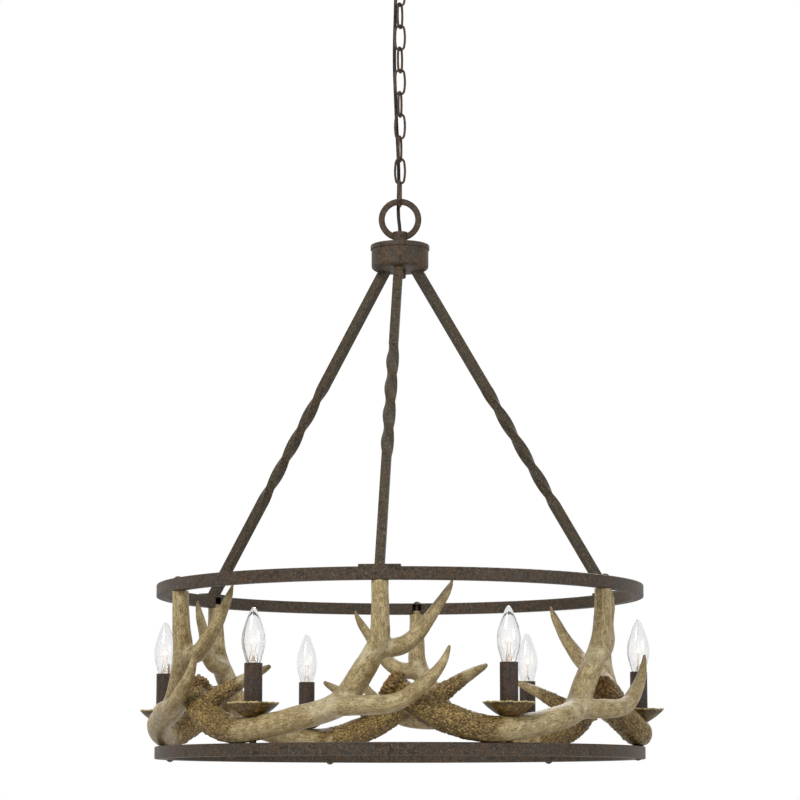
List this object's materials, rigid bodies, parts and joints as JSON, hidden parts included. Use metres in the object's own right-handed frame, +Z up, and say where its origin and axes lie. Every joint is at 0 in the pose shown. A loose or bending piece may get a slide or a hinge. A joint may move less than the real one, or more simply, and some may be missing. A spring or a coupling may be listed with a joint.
{
  "type": "antler chandelier",
  "caption": "Drum-shaped chandelier: two square-tube rings joined by cast antlers with candle lamps, hung by twisted rods, a round hub and a chain.",
  "frame": {"origin": "centre of the crossbar's top face, in the ceiling plane, midway between the two ceiling screws", "axes": "+Z up along the chain, +X along the crossbar, -Y towards the viewer of the picture"},
  "size_m": [0.7668, 0.7516, 1.227],
  "materials": {
    "dark_metal": "aged bronze, speckled",
    "antler": "cast resin, streaked tan and brown",
    "cup_metal": "mottled antique gold",
    "sleeve": "dark bronze",
    "bulb_glass": "clear",
    "bulb_base": "satin",
    "zinc": "zinc plated",
    "cord": "satin black",
    "socket": "moulded"
  },
  "bodies": {
    "ceiling_mount": {"crossbar": "zinc", "canopy": "dark_metal", "canopy_nipple": "zinc", "canopy_nut": "zinc", "canopy_loop": "dark_metal", "supply_cord": "cord"},
    "link_1": {"chain_link_1": "dark_metal"},
    "link_2": {"chain_link_2": "dark_metal"},
    "link_3": {"chain_link_3": "dark_metal"},
    "link_4": {"chain_link_4": "dark_metal"},
    "link_5": {"chain_link_5": "dark_metal"},
    "link_6": {"chain_link_6": "dark_metal"},
    "link_7": {"chain_link_7": "dark_metal"},
    "link_8": {"chain_link_8": "dark_metal"},
    "link_9": {"chain_link_9": "dark_metal"},
    "link_10": {"chain_link_10": "dark_metal"},
    "chandelier": {"hanging_loop": "dark_metal", "hub_lid": "dark_metal", "hub_body": "dark_metal", "hub_nipple": "zinc", "hub_finial": "dark_metal", "hub_wire_connectors": "socket", "rod_nuts": "zinc", "rod_1": "dark_metal", "rod_2": "dark_metal", "rod_3": "dark_metal", "upper_ring": "dark_metal", "lower_ring": "dark_metal", "antler_1": "antler", "antler_2": "antler", "antler_3": "antler", "antler_4": "antler", "antler_5": "antler", "antler_6": "antler", "post_bolts": "dark_metal", "base_bolts": "dark_metal", "candle_cup_1": "cup_metal", "candle_cup_2": "cup_metal", "candle_cup_3": "cup_metal", "candle_cup_4": "cup_metal", "candle_cup_5": "cup_metal", "candle_cup_6": "cup_metal", "candle_sleeves": "sleeve", "lamp_sockets": "socket", "candle_nipples": "zinc", "ring_lead": "cord"},
    "bulb_1": {"bulb_glass_1": "bulb_glass", "bulb_base_1": "bulb_base"},
    "bulb_2": {"bulb_glass_2": "bulb_glass", "bulb_base_2": "bulb_base"},
    "bulb_3": {"bulb_glass_3": "bulb_glass", "bulb_base_3": "bulb_base"},
    "bulb_4": {"bulb_glass_4": "bulb_glass", "bulb_base_4": "bulb_base"},
    "bulb_5": {"bulb_glass_5": "bulb_glass", "bulb_base_5": "bulb_base"},
    "bulb_6": {"bulb_glass_6": "bulb_glass", "bulb_base_6": "bulb_base"}
  },
  "joints": [
    {"name": "canopy_loop_to_link_1", "type": "hinge", "parent": "ceiling_mount", "child": "link_1", "pos_m": [0, 0, -0.059], "axis": [0, 1, 0], "range_deg": [-10, 10], "deforming": ["supply_cord"]},
    {"name": "link_1_to_link_2", "type": "hinge", "parent": "link_1", "child": "link_2", "pos_m": [0, 0, -0.09273], "axis": [0.9976, -0.0698, 0], "range_deg": [-10, 10], "deforming": ["supply_cord"]},
    {"name": "link_2_to_link_3", "type": "hinge", "parent": "link_2", "child": "link_3", "pos_m": [0, 0, -0.12713], "axis": [0.4695, 0.8829, 0], "range_deg": [-10, 10], "deforming": ["supply_cord"]},
    {"name": "link_3_to_link_4", "type": "hinge", "parent": "link_3", "child": "link_4", "pos_m": [0, 0, -0.16152], "axis": [0.9976, -0.0698, 0], "range_deg": [-10, 10], "deforming": ["supply_cord"]},
    {"name": "link_4_to_link_5", "type": "hinge", "parent": "link_4", "child": "link_5", "pos_m": [0, 0, -0.19592], "axis": [0.4226, 0.9063, 0], "range_deg": [-10, 10], "deforming": ["supply_cord"]},
    {"name": "link_5_to_link_6", "type": "hinge", "parent": "link_5", "child": "link_6", "pos_m": [0, 0, -0.23033], "axis": [0.9976, -0.0698, 0], "range_deg": [-10, 10], "deforming": ["supply_cord"]},
    {"name": "link_6_to_link_7", "type": "hinge", "parent": "link_6", "child": "link_7", "pos_m": [0, 0, -0.26473], "axis": [0.309, 0.9511, 0], "range_deg": [-10, 10], "deforming": ["supply_cord"]},
    {"name": "link_7_to_link_8", "type": "hinge", "parent": "link_7", "child": "link_8", "pos_m": [0, 0, -0.29912], "axis": [0.9976, -0.0698, 0], "range_deg": [-10, 10], "deforming": ["supply_cord"]},
    {"name": "link_8_to_link_9", "type": "hinge", "parent": "link_8", "child": "link_9", "pos_m": [0, 0, -0.33352], "axis": [0.2756, 0.9613, 0], "range_deg": [-10, 10], "deforming": ["supply_cord"]},
    {"name": "link_9_to_link_10", "type": "hinge", "parent": "link_9", "child": "link_10", "pos_m": [0, 0, -0.36793], "axis": [0.9976, -0.0698, 0], "range_deg": [-10, 10], "deforming": ["supply_cord"]},
    {"name": "link_10_to_chandelier", "type": "hinge", "parent": "link_10", "child": "chandelier", "pos_m": [0, 0, -0.40232], "axis": [0.1736, 0.9848, 0], "range_deg": [-10, 10], "deforming": ["supply_cord"]},
    {"name": "bulb_1_out", "type": "slide", "parent": "chandelier", "child": "bulb_1", "axis": [0, 0, 1], "range_m": [0, 0.024]},
    {"name": "bulb_2_out", "type": "slide", "parent": "chandelier", "child": "bulb_2", "axis": [0, 0, 1], "range_m": [0, 0.024]},
    {"name": "bulb_3_out", "type": "slide", "parent": "chandelier", "child": "bulb_3", "axis": [0, 0, 1], "range_m": [0, 0.024]},
    {"name": "bulb_4_out", "type": "slide", "parent": "chandelier", "child": "bulb_4", "axis": [0, 0, 1], "range_m": [0, 0.024]},
    {"name": "bulb_5_out", "type": "slide", "parent": "chandelier", "child": "bulb_5", "axis": [0, 0, 1], "range_m": [0, 0.024]},
    {"name": "bulb_6_out", "type": "slide", "parent": "chandelier", "child": "bulb_6", "axis": [0, 0, 1], "range_m": [0, 0.024]}
  ]
}
